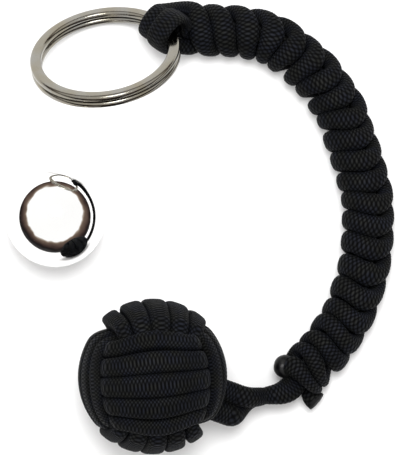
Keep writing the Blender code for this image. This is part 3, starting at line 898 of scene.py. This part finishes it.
class MONKEYFIST_OT_lanyard(Operator):
    """Run each cord through the core, round the ring and back in wraps over the core"""

    bl_idname = "monkey_fist.lanyard"
    bl_label = "Lanyard Cords"

    def execute(self, context):
        settings = settings_of(context)
        lanyard, braid, ring = settings.lanyard, settings.braid, settings.ring
        cord = made_once("Black braided cord", braided_cord, braid)
        line = lanyard_line()
        for letter, strand, sign in zip("ab", knot_stations(line, lanyard), (-1, 1)):
            core = core_stations(line, sign, lanyard)[::-1]
            arc = bight_stations(ring, letter)[::-1]
            to_ring = joining_stations(
                core[-1], heading(core, -2, -1), arc[0], heading(arc, 0, 1), swell=0.0016
            )
            to_knots = joining_stations(
                arc[-1], heading(arc, -2, -1), strand[0], heading(strand, 0, 1), 12, 0.32, 0.0004
            )
            run = core + to_ring[1:-1] + arc + to_knots[1:-1] + strand
            if letter == "a":
                run += outer_end(line, strand, lanyard)[1:]
            steps = [second[0] - first[0] for first, second in zip(core, core[1:])]
            hidden_from, hidden_to = 0.008, sum(step.length for step in steps) - 0.006
            tool = braided_tube(run, braid, lanyard.squareness, 1.0, 0.25,
                                lambda centre, distance: hidden_from < distance < hidden_to)
            nodes = [f"knot_strand_{letter}", f"ring_bight_{letter}", f"core_strand_{letter}"]
            add_piece(f"lanyard_cord_{letter}", tool, cord, "lanyard", nodes)
        return {"FINISHED"}


class MONKEYFIST_OT_melted_ends(Operator):
    """Make the cut ends of the wrapping strands: one melted to a bead, one pressed flat"""

    bl_idname = "monkey_fist.melted_ends"
    bl_label = "Melted Ends"

    def execute(self, context):
        lanyard = settings_of(context).lanyard
        melted = made_once("Melted cord", melted_cord, 0.28)
        pressed = made_once("Pressed melted cord", melted_cord, 0.62)
        line = lanyard_line()
        strands = knot_stations(line, lanyard)

        centre, up, width, thickness = strands[1][-1]
        travel = heading(strands[1], -3, -1)
        away = (travel + line[1][-1] * 0.05 + UP * 0.1).normalized()
        sunk, reach, count, end_width, end_thickness = 0.0004, 0.0012, 16, 0.0047, 0.0043
        pull, tip = reach * 0.4, centre + (travel + away) * (reach / 2)
        bead = []
        points = bezier(centre - travel * sunk, travel * pull, away * pull, tip, count)
        for k, point in enumerate(points):
            share = eased(k / count)
            swell = 1 + 0.06 * math.sin(math.pi * share)
            bead.append((point, up, mixed(width * 0.90, end_width, share) * swell,
                         mixed(thickness * 0.96, end_thickness, share) * swell))
        bead = with_noses(even_stations(steady_ups(bead), 0.00012), 0, 1.0, 14)

        last = outer_end(line, strands[0], lanyard)
        centre, up, width, thickness = last[-1]
        travel = heading(last, -2, -1)
        cap = [(centre + travel * step, up, width * size, thickness * size)
               for step, size in ((-0.0003, 0.98), (-0.0001, 1.0), (0.0001, 1.01), (0.0003, 1.0))]
        cap = with_noses(even_stations(steady_ups(cap), 0.00010), 0, 0.22, 8)

        def ripple(k, j):
            return 0.00003 * math.sin(j * 0.7 + k * 0.31) * math.sin(k * 0.17 + 1.3)

        points_around, scale = 40, 0.1
        for letter, stations, squareness, material in (
            ("a", cap, lanyard.squareness, pressed),
            ("b", bead, 2.1, melted),
        ):
            name, nodes = f"melted_bead_{letter}", [f"melted_end_{letter}"]
            alongs = [k * scale for k in range(len(stations))]
            tool = rolled_tube(stations, points_around, squareness, ripple, alongs, scale)
            add_piece(name, tool, material, "lanyard", nodes)
        return {"FINISHED"}


class MONKEYFIST_OT_neck(Operator):
    """Lead the two legs of cord from the lanyard to the fist"""

    bl_idname = "monkey_fist.neck"
    bl_label = "Neck"

    def execute(self, context):
        settings = settings_of(context)
        neck, braid, lanyard = settings.neck, settings.braid, settings.lanyard
        cord = made_once("Black braided cord", braided_cord, braid)
        way = Vector((math.cos(neck.heading), math.sin(neck.heading), 0))
        across = Vector((-way.y, way.x, 0))
        reach = FIST_RADIUS + TOUCH_GAP + CAD_CORD_DIAMETER / 2
        drop = FIST_CENTRE.z - neck.height
        start = Vector((*FIST_CENTRE.xy, neck.height)) + way * math.sqrt(reach**2 - drop**2)
        out = (start - FIST_CENTRE).normalized()
        end = WAIST + WAIST_TRAVEL * 0.0022
        pull = (end - start).length * 0.35
        middle = bezier(start, out * pull, -WAIST_TRAVEL * pull, end, 48)
        line = lanyard_line()
        leg_gap, buried, past_waist = 0.0001, 0.0030, neck.waist + 0.0007
        for letter, sign in (("a", -1), ("b", 1)):
            run = []
            for point, travel in zip(middle, travels(middle)):
                share = min(max((point.x - start.x) / (end.x - start.x), 0), 1)
                turn = math.acos(1 - share**2.2)
                above = travel.cross(across).normalized()
                above *= 1 if above.z > 0 else -1
                size = mixed(neck.diameter, neck.waist, share)
                room = 1 + neck.twist_room * math.sin(math.pi * share)
                apart = (size - leg_gap) / 2 * room
                beside = (across * math.cos(turn) + above * math.sin(turn)) * (sign * apart)
                run.append((point + beside, UP, size, size))
            run.insert(0, (run[0][0] - out * buried, UP, run[0][2], run[0][2]))
            at_waist = WAIST + UP * (sign * past_waist / 2)
            run.append((at_waist, UP, past_waist, past_waist))
            core = core_stations(line, sign, lanyard)[-5:]
            joined = joining_stations(
                run[-1], -WAIST_TRAVEL, core[0], heading(core, -1, 0), 24, swell=0.0010
            )
            whole = braided_tube(run + joined[1:], braid, 2.0)
            misses = [abs((station[0] - FIST_HINGE).dot(out) - neck.split) for station in run]
            split = min(range(2, len(middle)), key=misses.__getitem__)
            cut_way = heading(run, split - 1, split + 1)
            upper, lower = cut_across(whole, run[split][0], cut_way)
            nodes = [f"neck_leg_{letter}"]
            for name, tool, bodies, bend, back, on in (
                ("neck", lower, ("lanyard", "neck"), WAIST,
                 -WAIST_TRAVEL * 0.0024, WAIST_TRAVEL * 0.0030),
                ("fist_leg", upper, ("neck", "fist"), FIST_HINGE, out * 0.0024, -out * 0.0026),
            ):
                piece = add_piece(f"{name}_cord_{letter}", tool, cord, None, nodes)
                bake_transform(piece)
        return {"FINISHED"}


class MONKEYFIST_OT_ring(Operator):
    """Coil the split ring from flat wire"""

    bl_idname = "monkey_fist.ring"
    bl_label = "Split Ring"

    def execute(self, context):
        ring = settings_of(context).ring
        nickel = made_once("Nickel plate", nickel_plate, ring.colour)
        centre, level, slope, normal = ring_frame(ring)
        height = ring.wire_thickness + ring.coil_gap
        step_angle, end_gap = math.radians(24), math.radians(3)
        first = math.pi / 2 + step_angle / 2 + end_gap
        last = first + 4 * math.pi - step_angle - 2 * end_gap
        count, points_around, squareness, scale = 400, 28, 3.6, 0.05
        run = []
        for k in range(count + 1):
            angle = mixed(first, last, k / count)
            rise = height * (eased((angle - (first + last) / 2) / step_angle + 0.5) - 0.5)
            turn = angle - SPLIT_TURN
            outward = level * math.cos(turn) + slope * math.sin(turn)
            run.append((centre + outward * wire_radius(ring) + normal * rise, normal,
                        ring.wire_width, ring.wire_thickness))
        blunt = with_noses(run, 0.25, 0.25, 4)
        alongs = [k * scale for k in range(len(blunt))]
        tool = rolled_tube(blunt, points_around, squareness, lambda k, j: 0.0, alongs, scale)
        add_piece("split_ring_wire", tool, nickel, "ring", ["split_ring"])
        return {"FINISHED"}


class MONKEYFIST_OT_ball(Operator):
    """Make the bare ball that lies beside the fist"""

    bl_idname = "monkey_fist.ball"
    bl_label = "Loose Ball"

    def execute(self, context):
        ball = settings_of(context).ball
        steel = made_once("Polished steel", polished_steel, ball.colour)
        radius = ball.diameter / 2
        tool = bmesh.new()
        bmesh.ops.create_uvsphere(tool, u_segments=160, v_segments=80, radius=radius)
        tool.transform(Matrix.Translation((*BALL_PLACE, radius)))
        add_piece("bare_ball", tool, steel, "spare_ball", ["loose_ball"])
        return {"FINISHED"}


class MONKEYFIST_OT_stage(Operator):
    """Lay the pale floor, set the soft light and aim the camera"""

    bl_idname = "monkey_fist.stage"
    bl_label = "Stage"

    def execute(self, context):
        stage = settings_of(context).stage
        tool = bmesh.new()
        bmesh.ops.create_grid(tool, x_segments=2, y_segments=2, size=stage.floor_size / 2)
        pale = made_once("Pale floor", pale_floor, stage.floor_colour)
        floor = placed("floor", mesh_of("floor", tool, pale))

        light = bpy.data.lights.new("soft_overhead", "AREA")
        light.shape = "DISK"
        light.size = 0.5
        light.energy = stage.light_power
        lamp = placed("soft_overhead", light)
        lamp.location = (0.03, 0.32, 1.1)
        lamp.visible_camera = False
        aim = Vector((0.01, 0.03, 0)) - lamp.location
        lamp.rotation_euler = aim.to_track_quat("-Z", "Y").to_euler()

        # White overhead, then through brown to black near the horizon, with a wavy edge
        context.scene.world = bpy.data.worlds.new("studio_surroundings")
        recipe = Recipe(context.scene.world, "Background")
        tilt, waviness = math.radians(8), 0.22
        direction = recipe.here("Generated")
        top = (0.0, math.sin(tilt), math.cos(tilt))
        toward = recipe.node("ShaderNodeVectorMath", direction, top, operation="DOT_PRODUCT")
        ripple = recipe.noise(direction, 3.2, 1.0)
        waved = recipe.math("MULTIPLY_ADD", ripple, waviness, toward.outputs["Value"])
        ramp = recipe.node("ShaderNodeValToRGB", recipe.ramp(waved, -0.89, 1.11))
        stops = (
            (0.00, (0.30, 0.30, 0.30)),
            (0.52, (0.010, 0.008, 0.008)),
            (0.58, (0.050, 0.032, 0.028)),
            (0.66, (0.150, 0.105, 0.080)),
            (0.685, (0.420, 0.360, 0.300)),
            (0.70, (1.0, 1.0, 1.0)),
            (1.00, (1.0, 1.0, 1.0)),
        )
        while len(ramp.color_ramp.elements) < len(stops):
            ramp.color_ramp.elements.new(0.5)
        for element, (place, colour) in zip(ramp.color_ramp.elements, stops):
            element.position = place
            element.color = (*colour, 1)
        recipe.shade({"Color": ramp.outputs["Color"], "Strength": stage.sky_strength})
        context.scene.view_settings.view_transform = "Standard"

        camera = bpy.data.cameras.new("camera")
        camera.sensor_fit = "HORIZONTAL"
        camera.sensor_width = 36
        framed_height, framed_width = 0.005, 0.080
        distance = stage.camera_height - framed_height
        camera.lens = camera.sensor_width * distance / framed_width
        camera.clip_start = 0.01
        eye = placed("camera", camera)
        eye.location = (0.0094, 0.0280, stage.camera_height)
        context.scene.camera = eye
        return {"FINISHED"}


OPERATORS = (
    MONKEYFIST_OT_stage,
    MONKEYFIST_OT_fist,
    MONKEYFIST_OT_neck,
    MONKEYFIST_OT_lanyard,
    MONKEYFIST_OT_melted_ends,
    MONKEYFIST_OT_ring,
    MONKEYFIST_OT_ball,
)


class MONKEYFIST_PT_panel(Panel):
    """Sizes, colours and the steps that make each piece"""

    bl_label = "Monkey Fist"
    bl_idname = "MONKEYFIST_PT_panel"
    bl_space_type = "VIEW_3D"
    bl_region_type = "UI"
    bl_category = "Monkey Fist"

    def draw(self, context):
        settings = settings_of(context)
        for group in MonkeyFistSettings.__annotations__:
            box = self.layout.box()
            box.label(text=group.title())
            sizes = getattr(settings, group)
            for name in sizes.__annotations__:
                box.prop(sizes, name)
        for operator in OPERATORS:
            self.layout.operator(operator.bl_idname)


CLASSES = (
    BraidSettings,
    FistSettings,
    LanyardSettings,
    NeckSettings,
    RingSettings,
    BallSettings,
    StageSettings,
    MonkeyFistSettings,
    *OPERATORS,
    MONKEYFIST_PT_panel,
)


def register():
    for made in CLASSES:
        bpy.utils.register_class(made)
    bpy.types.Scene.monkey_fist = PointerProperty(type=MonkeyFistSettings)


def unregister():
    del bpy.types.Scene.monkey_fist
    for made in reversed(CLASSES):
        bpy.utils.unregister_class(made)


def main():
    register()
    for operator in OPERATORS:
        group, name = operator.bl_idname.split(".")
        getattr(getattr(bpy.ops, group), name)()


if __name__ == "__main__":
    main()
